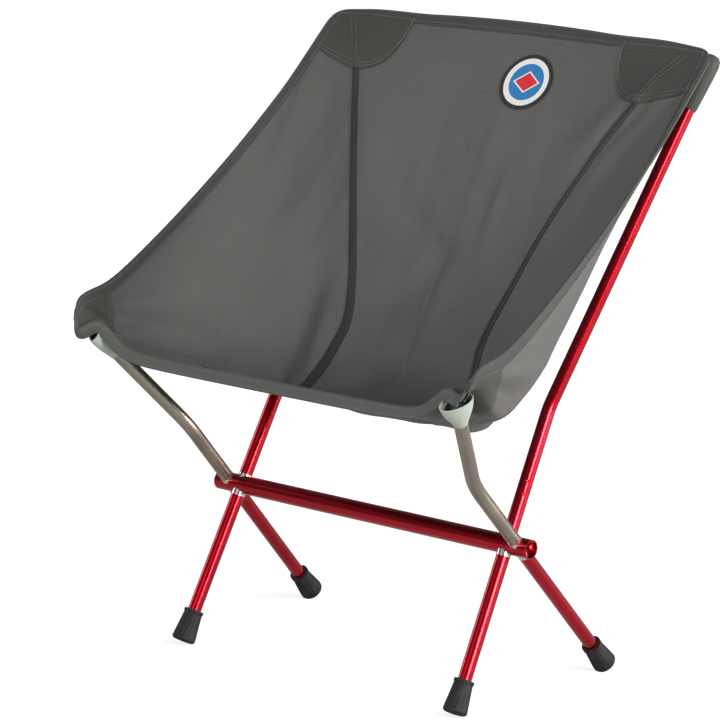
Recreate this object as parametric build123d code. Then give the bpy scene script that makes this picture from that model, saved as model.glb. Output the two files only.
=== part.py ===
from build123d import *
import math
import os

os.makedirs("parts", exist_ok=True)

# An ultralight folding chair: one crossbar tube, four legs below it, two rear uprights and two
# front arms above it, and a fabric sling that hangs from the four pole tips.
# Millimetres. +X is the sitter's left, the chair faces -Y, +Z is up, the floor is z = 0.
# The crossbar's axis is drawn at y = 0; the whole chair is centred on its box at the end.

# ---------------------------------------------------------------- frame sizes
bar_length = 415.0
bar_diameter = 19.5
bar_wall = 1.2
bar_height = 156.0            # crossbar axis above the floor

pole_diameter = 14.0
pole_wall = 1.0
upright_line_at = 176.8       # where the front leg's and the upright's line crosses the bar
arm_line_at = 192.1           # where the rear leg's and the arm's line crosses the bar
front_foot_at = (182.2, -88.7)    # where those lines meet the floor
rear_foot_at = (198.9, 140.0)

plug_clearance = 0.05         # radial, between a pole's bore and the ferrule that plugs into it
ferrule_wall = 1.0
ferrule_reach = 30.0          # how far a ferrule stands into a leg, and into each half of an upright
ferrule_grip = 60.0           # how far it stands into an upright or arm, which is crimped to it
crimp_radius = 3.0            # each crimp is a shallow round dimple
crimp_depth = 0.5
crimp_facing = (0.66, -0.75, 0.0)
upright_crimps = (51.6, 65.3)     # along the line, from the bar's axis
arm_crimps = (29.5, 47.5)
leg_collar_height = 3.0       # bright ring between the bar and a leg
pole_collar_height = 1.2      # thin rim between the bar and an upright or arm
collar_overhang = 0.3         # how far a collar stands out past its pole
end_gap = 0.1                 # between a collar and the pole that seats on it

upright_bend_at = 143.6       # along the line, from the bar's axis
upright_lean = (0.1765, 0.4413, 0.8799)
upright_bend_radius = 70.0
upright_joint_past_bend = 107.0
upright_past_bend = 366.0
arm_bend_at = 99.5
arm_lean = (0.3285, -0.5933, 0.7345)
arm_bend_radius = 90.0
arm_past_bend = 132.0

tip_height = 9.0              # plastic cap on a pole's end
tip_plug = 12.0
cord_diameter = 2.8
cord_hole_clearance = 0.3
knot_diameter = 6.4
knot_clearance = 0.4

# ---------------------------------------------------------------- feet
foot_length = 34.0
foot_top_diameter = 19.0
foot_bottom_diameter = 25.0
foot_lip_height = 3.0
foot_lip_overhang = 0.8
foot_socket = 22.0
foot_neck = 3.0
foot_flat_depth = 0.6         # how much of the tread's edge the floor presses flat
foot_edge_radius = 3.0
foot_wall_inset = 0.4         # the bell narrows by this much over its lowest part
foot_wall_height = 6.0
foot_ribs = 12
foot_groove_radius = 1.5
foot_groove_taper = 0.6
foot_groove_start = 5.0
foot_groove_out = 0.6         # how far a groove's axis lies outside the bell

# ---------------------------------------------------------------- sling sizes
back_top = (240.0, 632.0)         # (y, z) at the middle of the top edge
seat_front = (-154.0, 315.0)      # (y, z) at the middle of the front edge
back_pull = (0.0, 292.0)          # the middle line's two control points
seat_pull = (110.0, 183.0)
side_back = (232.0, 620.0)        # (y, z) where a side edge starts at the back corner
side_middle = (33.5, 439.5)
side_front = (-172.0, 347.0)
back_half_width = 250.0
front_half_width = 260.0
opening_start = 18.0              # how deeply a cross-section curls, in degrees
opening_swing = 73.7
opening_length = 1.45
corner_sharpness = 1.5
arm_tip_lift = 22.0               # the fabric stands up over the tips of the arms
arm_tip_spread = 30.0

cloth = 1.2                   # thickness of the panels
binding_thickness = 2.8
side_binding_width = 13.0
top_binding_width = 15.0
front_binding_width = 15.0
join_gap = 0.8                # between a panel and its bindings
seam_gap = 1.5                # between the panels that a seam joins, under its tape
layer_gap = 0.35              # between cloth layers that lie on each other
seam_width = 9.0
tape_thickness = 0.8
seam_front = 0.25             # where the seam runs, as a share of the half width
seam_fan = 0.66
seam_end = 0.45
seam_power = 1.6
tape_start = 0.10             # where the tape comes out from under the back patch
patch_thickness = 0.6
front_patch_lift = 0.9        # the front patch stands clear of the cloth over the arm's tip
back_patch_end = 0.092        # how far down the back patch reaches, as a share of the middle line
back_patch_inner = 0.56       # its inner corner at the top, as a share of the half width
back_patch_round = 0.26       # how much its lower corner is rounded off
front_patch_start = 0.865
front_patch_width = 0.24      # how wide the front patch grows, as a share of the half width
front_patch_grow = 0.12       # over this much of the middle line
badge_diameter = 62.0
badge_thickness = 1.0
badge_at = (0.14, 0.058)
badge_end = 0.98              # the badge's top and bottom end in short straight edges

pocket_wall = 1.0
pocket_clearance = 0.5
back_pocket_length = 58.0
front_pocket_length = 34.0
front_pocket_flare = 0.8

bar_radius = bar_diameter / 2
pole_radius = pole_diameter / 2
pole_bore = pole_radius - pole_wall
ferrule_radius = pole_bore - plug_clearance
ferrule_bore = ferrule_radius - ferrule_wall

nodes = {}


def keep(name, *solids):
    """Remember one named piece, made of one or more solids."""
    nodes[name] = [part for solid in solids for part in solid.solids()]


def mirrored(solid):
    return mirror(solid, about=Plane.YZ)


def keep_pair(name, *solids):
    """Keep a piece on the sitter's left (+X) and its mirror image on the right."""
    keep("left_" + name, *solids)
    keep("right_" + name, *[mirrored(solid) for solid in solids])


def cylinder_between(start, end, radius):
    along = end - start
    return Solid.make_cylinder(radius, along.length, Plane(origin=start, z_dir=along))


def tube_along(points, bend_radius, outside, inside):
    """A round tube whose path is straight runs joined by an arc."""
    if len(points) == 2:
        solid = cylinder_between(points[0], points[1], outside)
        return solid - cylinder_between(points[0], points[1], inside) if inside else solid
    path = FilletPolyline(*points, radius=bend_radius)
    start = Plane(origin=points[0], z_dir=points[1] - points[0])
    solid = sweep(start * Circle(outside), path=path)
    if inside:
        solid -= sweep(start * Circle(inside), path=path)
    return solid


# ---------------------------------------------------------------- lines of the frame
def pole_line(crossing, foot):
    """Where a line crosses the bar, and its upward direction."""
    centre = Vector(crossing, 0, bar_height)
    return centre, (centre - Vector(foot[0], foot[1], 0)).normalized()


upright_centre, upright_up = pole_line(upright_line_at, front_foot_at)
arm_centre, arm_up = pole_line(arm_line_at, rear_foot_at)
upright_over = Vector(*upright_lean).normalized()
arm_over = Vector(*arm_lean).normalized()


# ---------------------------------------------------------------- crossbar, ferrules, collars
def crossbar():
    half = Vector(bar_length / 2, 0, 0)
    height = Vector(0, 0, bar_height)
    bar = cylinder_between(height - half, height + half, bar_radius)
    bar -= cylinder_between(height - half, height + half, bar_radius - bar_wall)
    for centre, up in ((upright_centre, upright_up), (arm_centre, arm_up)):
        hole = cylinder_between(centre - up * bar_diameter, centre + up * bar_diameter, ferrule_radius)
        bar -= hole
        bar -= mirrored(hole)
    return bar


def ferrule(centre, up):
    lower = bar_radius + leg_collar_height + ferrule_reach
    upper = bar_radius + pole_collar_height + ferrule_grip
    return tube_along([centre - up * lower, centre + up * upper], 0, ferrule_radius, ferrule_bore)


def collar(centre, outward, height):
    """A ring that fills the saddle between the round bar and a pole's square end."""
    top = centre + outward * (bar_radius + height)
    ring = tube_along([centre, top], 0, pole_radius + collar_overhang, ferrule_radius)
    reach = Vector(bar_length, 0, 0)
    height_line = Vector(0, 0, bar_height)
    ring -= cylinder_between(height_line - reach, height_line + reach, bar_radius)
    return ring.solids().sort_by(SortBy.VOLUME)[-1]


keep("crossbar", crossbar())
for name, centre, up in (("upright", upright_centre, upright_up), ("arm", arm_centre, arm_up)):
    leg = "front_leg" if name == "upright" else "rear_leg"
    keep_pair(name + "_ferrule", ferrule(centre, up))
    keep_pair(name + "_collar", collar(centre, up, pole_collar_height))
    keep_pair(leg + "_collar", collar(centre, -up, leg_collar_height))


# ---------------------------------------------------------------- legs and feet
def foot_bottom(centre, up):
    """The middle of the tread, placed so that the floor presses its edge flat."""
    tilt = math.acos(up.Z)
    drop = (foot_bottom_diameter / 2 - foot_edge_radius) * math.sin(tilt)
    height = drop + foot_edge_radius * (1 - math.cos(tilt)) - foot_flat_depth
    return centre - up * ((centre.Z - height) / up.Z)


def rubber_foot(bottom, up):
    """A flared, ribbed bell with a socket for the leg and a recess for the cord's knot."""
    top_radius = foot_top_diameter / 2
    bottom_radius = foot_bottom_diameter / 2
    lip_radius = top_radius + foot_lip_overhang
    lip_start = foot_length - foot_lip_height
    with BuildPart() as bell:
        with BuildSketch(Plane.XZ):
            with BuildLine():
                Polyline(
                    (0, 0), (bottom_radius, 0), (bottom_radius - foot_wall_inset, foot_wall_height),
                    (top_radius, lip_start), (lip_radius, lip_start), (lip_radius, foot_length),
                    (0, foot_length), (0, 0),
                )
            make_face()
        revolve(axis=Axis.Z)
        tread = bell.edges().filter_by(GeomType.CIRCLE).sort_by(Axis.Z)[0]
        fillet(tread, radius=foot_edge_radius)
    foot = bell.part
    groove_length = lip_start - foot_groove_start
    groove = Solid.make_cone(
        foot_groove_radius, foot_groove_radius * foot_groove_taper, groove_length,
        Plane(origin=(bottom_radius + foot_groove_out, 0, foot_groove_start),
              z_dir=(top_radius - bottom_radius, 0, groove_length)),
    )
    for step in range(foot_ribs):
        foot -= groove.rotate(Axis.Z, 360 / foot_ribs * step)
    socket = Plane(origin=(0, 0, foot_length - foot_socket))
    foot -= Solid.make_cylinder(pole_radius, foot_socket, socket)
    foot -= Solid.make_cylinder(cord_diameter / 2 + cord_hole_clearance, foot_length)
    recess = foot_length - foot_socket - foot_neck
    foot -= Solid.make_cylinder(knot_diameter / 2 + knot_clearance, recess)
    foot = Plane(origin=bottom, z_dir=up).location * foot
    floor = Solid.make_box(200, 200, 50, Plane(origin=(bottom.X - 100, bottom.Y - 100, -50)))
    return foot - floor


for name, centre, up in (("front", upright_centre, upright_up), ("rear", arm_centre, arm_up)):
    bottom = foot_bottom(centre, up)
    leg_end = bottom + up * (foot_length - foot_socket)
    leg_top = centre - up * (bar_radius + leg_collar_height + end_gap)
    keep_pair(name + "_leg", tube_along([leg_top, leg_end], 0, pole_radius, pole_bore))
    keep_pair(name + "_foot", rubber_foot(bottom, up))


# ---------------------------------------------------------------- uprights, arms, tips
upright_start = upright_centre + upright_up * (bar_radius + pole_collar_height)
upright_bend = upright_centre + upright_up * upright_bend_at
upright_joint = upright_bend + upright_over * upright_joint_past_bend
upright_end = upright_bend + upright_over * upright_past_bend
arm_start = arm_centre + arm_up * (bar_radius + pole_collar_height)
arm_bend = arm_centre + arm_up * arm_bend_at
arm_end = arm_bend + arm_over * arm_past_bend


def crimped(pole, centre, up, places):
    """The pole with the dimples that hold its ferrule."""
    outward = Vector(*crimp_facing)
    outward = (outward - up * outward.dot(up)).normalized()
    for place in places:
        dimple = centre + up * place + outward * (pole_radius + crimp_radius - crimp_depth)
        pole -= Pos(dimple) * Sphere(crimp_radius)
    return pole


lower_pole = tube_along(
    [upright_start, upright_bend, upright_joint], upright_bend_radius, pole_radius, pole_bore)
keep_pair("upright_lower_pole", crimped(lower_pole, upright_centre, upright_up, upright_crimps))
keep_pair("upright_upper_pole", tube_along([upright_joint, upright_end], 0, pole_radius, pole_bore))
inner_start = upright_joint - upright_over * ferrule_reach
inner_end = upright_joint + upright_over * ferrule_reach
keep_pair("upright_joint_ferrule", tube_along([inner_start, inner_end], 0, ferrule_radius, ferrule_bore))
arm_pole = tube_along([arm_start, arm_bend, arm_end], arm_bend_radius, pole_radius, pole_bore)
keep_pair("arm_pole", crimped(arm_pole, arm_centre, arm_up, arm_crimps))


def tip_cap(end, over):
    """A rounded cap plugged into a pole's end, with a recess for the cord's knot."""
    plug = cylinder_between(end - over * tip_plug, end, pole_bore)
    dome = cylinder_between(end, end + over * tip_height, pole_radius)
    rim = dome.edges().filter_by(GeomType.CIRCLE).sort_by(lambda edge: (edge.center() - end).dot(over))[-1]
    cap = plug + dome.fillet(tip_height * 0.5, [rim])
    cord_hole = cord_diameter / 2 + cord_hole_clearance
    cap -= cylinder_between(end - over * tip_plug, end + over * tip_height, cord_hole)
    recess_start = end + over * (tip_height - knot_diameter - knot_clearance)
    return cap - cylinder_between(
        recess_start - over * knot_clearance * 2, end + over * tip_height,
        knot_diameter / 2 + knot_clearance)


keep_pair("upright_tip", tip_cap(upright_end, upright_over))
keep_pair("arm_tip", tip_cap(arm_end, arm_over))


def shock_cord(centre, up, bend, over, end, bend_radius):
    """Elastic cord from the knot under a foot to the knot in a pole's tip."""
    bottom = foot_bottom(centre, up)
    lower_knot = bottom + up * (foot_length - foot_socket - foot_neck - knot_diameter / 2 - knot_clearance)
    upper_knot = end + over * (tip_height - knot_diameter / 2 - knot_clearance)
    cord = tube_along([lower_knot, bend, upper_knot], bend_radius, cord_diameter / 2, 0)
    for knot in (lower_knot, upper_knot):
        cord += Pos(knot) * Sphere(knot_diameter / 2)
    return cord


keep_pair("front_shock_cord", shock_cord(
    upright_centre, upright_up, upright_bend, upright_over, upright_end, upright_bend_radius))
keep_pair("rear_shock_cord", shock_cord(arm_centre, arm_up, arm_bend, arm_over, arm_end, arm_bend_radius))


# ---------------------------------------------------------------- the sling's surface
def curve(points, t):
    """A point of the Bezier curve with these (y, z) control points."""
    while len(points) > 1:
        points = [
            tuple(a + (b - a) * t for a, b in zip(first, second))
            for first, second in zip(points, points[1:])
        ]
    return points[0]


def sling_point(u, v):
    """u runs from -1 (right edge) to 1 (left edge), v from 0 (top edge) to 1 (front edge)."""
    middle = curve([back_top, back_pull, seat_pull, seat_front], v)
    side = curve([side_back, side_middle, side_front], v)
    half_width = back_half_width + (front_half_width - back_half_width) * v
    curl = math.radians(opening_start + opening_swing * math.sin(math.pi * v / opening_length))
    across = half_width * math.sin(curl * u) / math.sin(curl)
    rise = (1 - math.cos(curl * u)) / (1 - math.cos(curl))
    rise = rise ** (1 + corner_sharpness * v ** 4)
    y = middle[0] + (side[0] - middle[0]) * rise
    z = middle[1] + (side[1] - middle[1]) * rise
    tip = arm_end + arm_over * tip_height
    away = math.hypot(abs(across) - tip.X, y - tip.Y)
    z += arm_tip_lift * math.exp(-(away / arm_tip_spread) ** 2)
    return Vector(across, y, z)


def sling_offset(u, v, height):
    """A point this far above the sling, on the sitter's side."""
    step = 0.004
    along_u = sling_point(min(u + step, 1), v) - sling_point(max(u - step, -1), v)
    along_v = sling_point(u, min(v + step, 1)) - sling_point(u, max(v - step, 0))
    return sling_point(u, v) + along_v.cross(along_u).normalized() * height


def half_length(v):
    """Length of the cloth from the middle line to a side edge."""
    steps = 16
    points = [sling_point(step / steps, v) for step in range(steps + 1)]
    return sum((b - a).length for a, b in zip(points, points[1:]))


def edge_share(v, width):
    """How much of u a strip of this width takes."""
    return width / half_length(v)


def end_share(v, width):
    """How much of v a strip of this width takes beside the top or front edge."""
    return width * 0.01 / (sling_point(0, v + 0.005) - sling_point(0, v - 0.005)).length


def sewn_piece(low, high, v_start, v_end, under, over, stations=13, columns=13):
    """A closed layer of cloth between two lines low(v) and high(v) of the sling's surface."""
    sections = []
    caps = []
    for station in range(stations):
        v = v_start + (v_end - v_start) * station / (stations - 1)
        shares = [low(v) + (high(v) - low(v)) * column / (columns - 1) for column in range(columns)]
        top = Edge.make_spline([sling_offset(u, v, over) for u in shares])
        base = Edge.make_spline([sling_offset(u, v, under) for u in shares])
        sections.append(Wire([
            top, Edge.make_line(top @ 1, base @ 1), base, Edge.make_line(base @ 0, top @ 0)]))
        if station in (0, stations - 1):
            caps.append(Face.make_surface_from_curves(top, base))
    skin = Shell.make_loft(sections)
    return Solid(Shell([*skin.faces(), *caps])).fix()


def seam_at(v):
    if v >= seam_end:
        return seam_front
    return seam_front + seam_fan * (1 - v / seam_end) ** seam_power


top_end = end_share(0.01, top_binding_width)
front_end = 1 - end_share(0.99, front_binding_width)


def panel_edge(v):
    return 1 - edge_share(v, side_binding_width + join_gap)


def beside_seam(v):
    return seam_at(v) + edge_share(v, seam_gap)


# ---------------------------------------------------------------- sling pieces
half_cloth = cloth / 2
half_binding = binding_thickness / 2
panel_start = top_end + end_share(0.01, join_gap)
panel_end = front_end - end_share(0.99, join_gap)

keep("main_panel", sewn_piece(
    lambda v: -min(seam_at(v), panel_edge(v)), lambda v: min(seam_at(v), panel_edge(v)),
    panel_start, panel_end, -half_cloth, half_cloth, stations=29, columns=17))
keep_pair("wing_panel", sewn_piece(
    beside_seam, panel_edge, panel_start, panel_end, -half_cloth, half_cloth, stations=29, columns=19))
keep_pair("side_binding", sewn_piece(
    lambda v: 1 - edge_share(v, side_binding_width), lambda v: 1.0,
    0.0, 1.0, -half_binding, half_binding, stations=17, columns=3))
keep("top_binding", sewn_piece(
    lambda v: -panel_edge(v), panel_edge, 0.0, top_end, -half_binding, half_binding, stations=3))
keep("front_binding", sewn_piece(
    lambda v: -panel_edge(v), panel_edge, front_end, 1.0, -half_binding, half_binding,
    stations=3, columns=21))
tape_base = half_cloth + layer_gap
keep_pair("seam_tape", sewn_piece(
    lambda v: seam_at(v) - edge_share(v, seam_width / 2),
    lambda v: seam_at(v) + edge_share(v, seam_width / 2),
    tape_start, panel_end, tape_base, tape_base + tape_thickness, stations=25, columns=3))


def back_patch_low(v):
    """The patch's inner edge: straight near the top, then curving out to the side."""
    return back_patch_inner + back_patch_round * max(v / back_patch_end - 1 / 3, 0) ** 2


def front_patch_low(v):
    return panel_edge(v) - front_patch_width * (v - front_patch_start) / front_patch_grow - join_gap / 100


keep_pair("back_corner_patch", sewn_piece(
    back_patch_low, panel_edge, panel_start, back_patch_end, tape_base, tape_base + patch_thickness,
    stations=7, columns=5))
front_patch_base = half_cloth + front_patch_lift
keep_pair("front_corner_patch", sewn_piece(
    front_patch_low, panel_edge, front_patch_start, panel_end,
    front_patch_base, front_patch_base + patch_thickness, stations=13, columns=13))


def badge():
    """A plain round badge sewn to the back, near the top."""
    u, v = badge_at
    radius = badge_diameter / 2
    reach = end_share(v, radius)

    def half_chord(at):
        away = (at - v) / reach * radius
        return edge_share(v, math.sqrt(radius ** 2 - away ** 2))

    limit = reach * badge_end
    return sewn_piece(
        lambda at: u - half_chord(at), lambda at: u + half_chord(at), v - limit, v + limit,
        tape_base, tape_base + badge_thickness, stations=11, columns=7)


keep("badge", badge())


# ---------------------------------------------------------------- pole pockets
def pocket(end, over, height, length, flare):
    """A sleeve round the end of a pole, open below."""
    top = end + over * height
    mouth = top - over * length
    inner = pole_radius + pocket_clearance
    plane = Plane(origin=mouth, z_dir=over)
    shell = Solid.make_cone(inner + pocket_wall, inner + pocket_wall + flare, length, plane) if flare \
        else Solid.make_cylinder(inner + pocket_wall, length, plane)
    room = Solid.make_cone(inner, inner + flare, length, plane) if flare \
        else Solid.make_cylinder(inner, length - pocket_wall, plane)
    return shell - room


keep_pair("back_pole_pocket", pocket(
    upright_end, upright_over, tip_height + pocket_clearance + pocket_wall, back_pocket_length, 0))
keep_pair("front_pole_pocket", pocket(
    arm_end, arm_over, tip_height - pocket_clearance, front_pocket_length, front_pocket_flare))


# ---------------------------------------------------------------- centre the chair and write it
boxes = [solid.bounding_box() for solids in nodes.values() for solid in solids]
front = min(box.min.Y for box in boxes)
rear = max(box.max.Y for box in boxes)
shift = Pos(0, -(front + rear) / 2, 0)
print("box y", round(front, 3), round(rear, 3), "top", round(max(box.max.Z for box in boxes), 3))
for name, solids in nodes.items():
    placed = [shift * solid for solid in solids]
    export_step(placed[0] if len(placed) == 1 else Compound(placed), f"parts/{name}.step")
print(len(nodes), "nodes")
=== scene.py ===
# %% [markdown]
# # A folding camp chair
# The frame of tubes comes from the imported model: it is loaded as it is, and only gets finishes.
# Everything that is sewn is built here, in metres, on the same surface that the model's sling has.

# %% Load the frame
import math
from functools import lru_cache

import bmesh
import bpy
from mathutils import Matrix, Vector, noise


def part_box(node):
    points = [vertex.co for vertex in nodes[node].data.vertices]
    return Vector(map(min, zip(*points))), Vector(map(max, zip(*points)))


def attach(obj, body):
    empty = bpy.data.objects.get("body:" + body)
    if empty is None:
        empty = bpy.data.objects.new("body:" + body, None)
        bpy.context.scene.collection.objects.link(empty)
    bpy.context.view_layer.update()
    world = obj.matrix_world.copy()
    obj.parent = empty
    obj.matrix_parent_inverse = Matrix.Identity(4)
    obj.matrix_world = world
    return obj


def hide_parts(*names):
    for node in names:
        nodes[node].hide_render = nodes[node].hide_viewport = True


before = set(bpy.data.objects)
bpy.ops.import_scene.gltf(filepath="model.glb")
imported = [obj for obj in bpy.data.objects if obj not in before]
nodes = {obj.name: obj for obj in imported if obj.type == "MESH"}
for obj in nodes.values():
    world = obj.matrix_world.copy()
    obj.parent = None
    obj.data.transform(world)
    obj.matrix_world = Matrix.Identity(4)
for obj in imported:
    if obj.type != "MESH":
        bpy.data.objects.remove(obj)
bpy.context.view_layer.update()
chair = "chair"
sides = {"left": 1, "right": -1}          # the sitter's left is +X

# %% [markdown]
# ## Camera
# The chair is seen from its front left and a little from above, with a long lens, as a studio
# does it to keep the legs parallel. The camera's place and lens give that view, and it has no shift.

# %% Camera
bar_low, bar_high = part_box("crossbar")
bar_middle = (bar_low + bar_high) / 2
camera_from_bar = Vector((2.3226, -2.6924, 0.9629))
camera_turn, camera_tilt = 40.95, 12.74
camera_data = bpy.data.cameras.new("studio_camera")
camera_data.lens, camera_data.sensor_width = 181.9, 36
camera_data.clip_end = 60
camera = bpy.data.objects.new("studio_camera", camera_data)
camera.location = bar_middle + camera_from_bar
camera.rotation_euler = (math.radians(90 - camera_tilt), 0, math.radians(camera_turn))
bpy.context.scene.collection.objects.link(camera)
bpy.context.scene.camera = camera
print("camera at", [round(x, 3) for x in camera.location])

# %% [markdown]
# ## Node maths
# A finish is a small network of nodes. Written as sums and products it reads like a recipe, so one
# class wraps a socket: an operator adds a Math node, and `node` adds any other kind.


# %% A socket that can be added and multiplied
class Wire:
    """An output socket in a tree of shader nodes."""

    def __init__(self, tree, socket=None):
        self.tree, self.socket = tree, socket

    def node(self, kind, settings=None, sockets=None, out=0):
        """Adds a node: its settings first, then its sockets' values or links."""
        made = self.tree.nodes.new(kind)
        for name, value in (settings or {}).items():
            if name == "stops":
                while len(made.color_ramp.elements) < len(value):
                    made.color_ramp.elements.new(0.5)
                for element, (place, colour) in zip(made.color_ramp.elements, value):
                    element.position, element.color = place, colour
            else:
                setattr(made, name, value)
        for name, value in (sockets or {}).items():
            if isinstance(value, Wire):
                self.tree.links.new(value.socket, made.inputs[name])
            else:
                made.inputs[name].default_value = value
        return Wire(self.tree, made.outputs[out])

    def math(self, operation, *values):
        return self.node("ShaderNodeMath", {"operation": operation}, dict(enumerate(values)))

    def __add__(self, other):
        return self.math("ADD", self, other)

    def __sub__(self, other):
        return self.math("SUBTRACT", self, other)

    def __rsub__(self, other):
        return self.math("SUBTRACT", other, self)

    def __mul__(self, other):
        return self.math("MULTIPLY", self, other)

    __radd__, __rmul__ = __add__, __mul__

    def step(self, low, high):
        """0 below low, 1 above high, smooth between."""
        return self.node("ShaderNodeMapRange", {"interpolation_type": "SMOOTHSTEP"}, {
            "Value": self, "From Min": low, "From Max": high})

    def mix(self, first, second):
        """first where self is 0, second where it is 1."""
        return self.node("ShaderNodeMix", {"data_type": "RGBA"}, {0: self, 6: first, 7: second}, out=2)


def finish(name, **settings):
    """A material and its Principled shader's node; settings are the shader's constants."""
    material = bpy.data.materials.new(name)
    material.use_nodes = True
    shader = material.node_tree.nodes["Principled BSDF"]
    for socket, value in settings.items():
        shader.inputs[socket.replace("_", " ")].default_value = value
    return material, shader, Wire(material.node_tree)


def connect(shader, **wires):
    for socket, wire in wires.items():
        wire.tree.links.new(wire.socket, shader.inputs[socket.replace("_", " ")])


def speckle(wire, scale, detail=2.0):
    """Noise on the piece's own coordinates."""
    place = wire.node("ShaderNodeTexCoord", out=3)
    return wire.node("ShaderNodeTexNoise", None, {"Vector": place, "Scale": scale, "Detail": detail})


def raised(wire, height, depth, strength=1.0):
    return wire.node("ShaderNodeBump", None, {"Height": height, "Distance": depth, "Strength": strength})


# %% [markdown]
# ## Metal
# The red tubes are anodised aluminium: a dyed, slightly matte oxide with a clear surface that still
# gives a white glint. The arms keep the grey-tan colour of titanium anodising. Collars and ferrules
# are bare. Each finish has faint clouding, a fine grain and rubbed spots.


# %% Metal finishes
def metal(name, dark, light, roughness, coat):
    material, shader, wire = finish(name, Metallic=1.0, Coat_Roughness=0.12)
    cloud = speckle(wire, 22, 3)
    grain = speckle(wire, 900, 2)
    rubbed = speckle(wire, 60, 5).step(0.62, 0.74)
    connect(
        shader,
        Base_Color=cloud.step(0.3, 0.7).mix(dark, light),
        Roughness=cloud * 0.06 + grain * 0.04 + rubbed * 0.05 + (roughness - 0.05),
        Coat_Weight=coat - rubbed * (coat * 0.3),
        Normal=raised(wire, grain, 0.000006, 0.2),
    )
    return material


red_anodised = metal("red_anodised", (0.44, 0.001, 0.010, 1), (0.52, 0.002, 0.016, 1), 0.25, 0.5)
titanium_anodised = metal("titanium_anodised", (0.30, 0.265, 0.215, 1), (0.37, 0.33, 0.265, 1), 0.34, 0.15)
bare_aluminium = metal("bare_aluminium", (0.70, 0.68, 0.66, 1), (0.80, 0.78, 0.76, 1), 0.22, 0.0)
print("metal finishes made")

# %% [markdown]
# ## Rubber and plastic
# The feet are moulded rubber, dull, with a fine mould texture and patches of dust. The tips are
# hard black plastic.


# %% Moulded finishes
def moulded(name, dark, light, roughness, grain_depth):
    material, shader, wire = finish(name, Specular_IOR_Level=0.22)
    dust = speckle(wire, 90, 4)
    grain = speckle(wire, 1400, 3)
    connect(
        shader,
        Base_Color=dust.step(0.35, 0.75).mix(dark, light),
        Roughness=dust * 0.15 + (roughness - 0.07),
        Normal=raised(wire, grain, grain_depth, 0.6),
    )
    return material


black_rubber = moulded("black_rubber", (0.008, 0.009, 0.008, 1), (0.020, 0.021, 0.019, 1), 0.62, 0.00012)
black_plastic = moulded("black_plastic", (0.010, 0.010, 0.011, 1), (0.018, 0.018, 0.019, 1), 0.40, 0.00005)

# %% [markdown]
# ## Give the frame its finishes
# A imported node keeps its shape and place: only the material in its slot changes.

# %% Paint the frame's nodes
frame_finishes = {
    "crossbar": red_anodised, "upright_lower_pole": red_anodised, "upright_upper_pole": red_anodised,
    "front_leg": red_anodised, "rear_leg": red_anodised, "arm_pole": titanium_anodised,
    "upright_ferrule": bare_aluminium, "arm_ferrule": bare_aluminium,
    "upright_joint_ferrule": bare_aluminium, "upright_collar": bare_aluminium,
    "arm_collar": bare_aluminium, "front_leg_collar": bare_aluminium, "rear_leg_collar": bare_aluminium,
    "front_foot": black_rubber, "rear_foot": black_rubber,
    "upright_tip": black_plastic, "arm_tip": black_plastic,
}


def paint(piece, material):
    if not piece.data.materials:
        piece.data.materials.append(material)
    for number in range(len(piece.data.materials)):
        piece.data.materials[number] = material


for kind, material in frame_finishes.items():
    for name in (kind, "left_" + kind, "right_" + kind):
        if name in nodes:
            paint(nodes[name], material)
print("frame painted")

# %% [markdown]
# ## The sling's surface
# The sling is a bucket: a middle line that falls from the back's top edge and turns forward into the
# seat, and two side edges that stay high. A cross-section is an arc between them. The numbers are
# the model's own, in metres, measured from the crossbar's axis.

# %% The surface's measures
back_top, seat_front = (0.240, 0.632), (-0.154, 0.315)
back_pull, seat_pull = (0.0, 0.292), (0.110, 0.183)
side_back, side_middle, side_front = (0.232, 0.620), (0.0335, 0.4395), (-0.172, 0.347)
back_half_width, front_half_width = 0.250, 0.260
opening_start, opening_swing, opening_length = 18.0, 73.7, 1.45
corner_sharpness = 1.5
arm_tip = Vector((0.2352, -0.1501, 0.3336))
arm_over = Vector((0.3286, -0.5935, 0.7347))
upright_tip = Vector((0.2387, 0.2364, 0.6107))
upright_over = Vector((0.1765, 0.4413, 0.8799))
arm_tip_lift, arm_tip_spread = 0.022, 0.030
shift = Vector((0, bar_middle.y, 0))

seam_front, seam_fan, seam_end, seam_power = 0.25, 0.66, 0.45, 1.6
side_binding_width, top_binding_width = 0.013, 0.015


def smooth(x, low, high):
    """0 below low, 1 above high, smooth between."""
    x = min(max((x - low) / (high - low), 0), 1)
    return x * x * (3 - 2 * x)


def curve(points, t):
    """The Bezier curve's point at t."""
    while len(points) > 1:
        points = [tuple(a + (b - a) * t for a, b in zip(first, second))
                  for first, second in zip(points, points[1:])]
    return points[0]


def sling_point(u, v):
    """u is -1 at the right edge and 1 at the left one; v is 0 at the top and 1 at the front."""
    middle = curve([back_top, back_pull, seat_pull, seat_front], v)
    side = curve([side_back, side_middle, side_front], v)
    half_width = back_half_width + (front_half_width - back_half_width) * v
    curl = math.radians(opening_start + opening_swing * math.sin(math.pi * v / opening_length))
    across = half_width * math.sin(curl * u) / math.sin(curl)
    rise = (1 - math.cos(curl * u)) / (1 - math.cos(curl))
    rise = rise ** (1 + corner_sharpness * v ** 4)
    y = middle[0] + (side[0] - middle[0]) * rise
    z = middle[1] + (side[1] - middle[1]) * rise
    away = math.hypot(abs(across) - arm_tip.x, y - arm_tip.y)
    z += arm_tip_lift * math.exp(-(away / arm_tip_spread) ** 2)
    return Vector((across, y, z)) + shift


def sling_axes(u, v):
    """The directions across and along the cloth, and towards the sitter."""
    step = 0.004
    across = (sling_point(min(u + step, 1), v) - sling_point(max(u - step, -1), v)).normalized()
    along = (sling_point(u, min(v + step, 1)) - sling_point(u, max(v - step, 0))).normalized()
    return across, along, along.cross(across).normalized()


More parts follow.
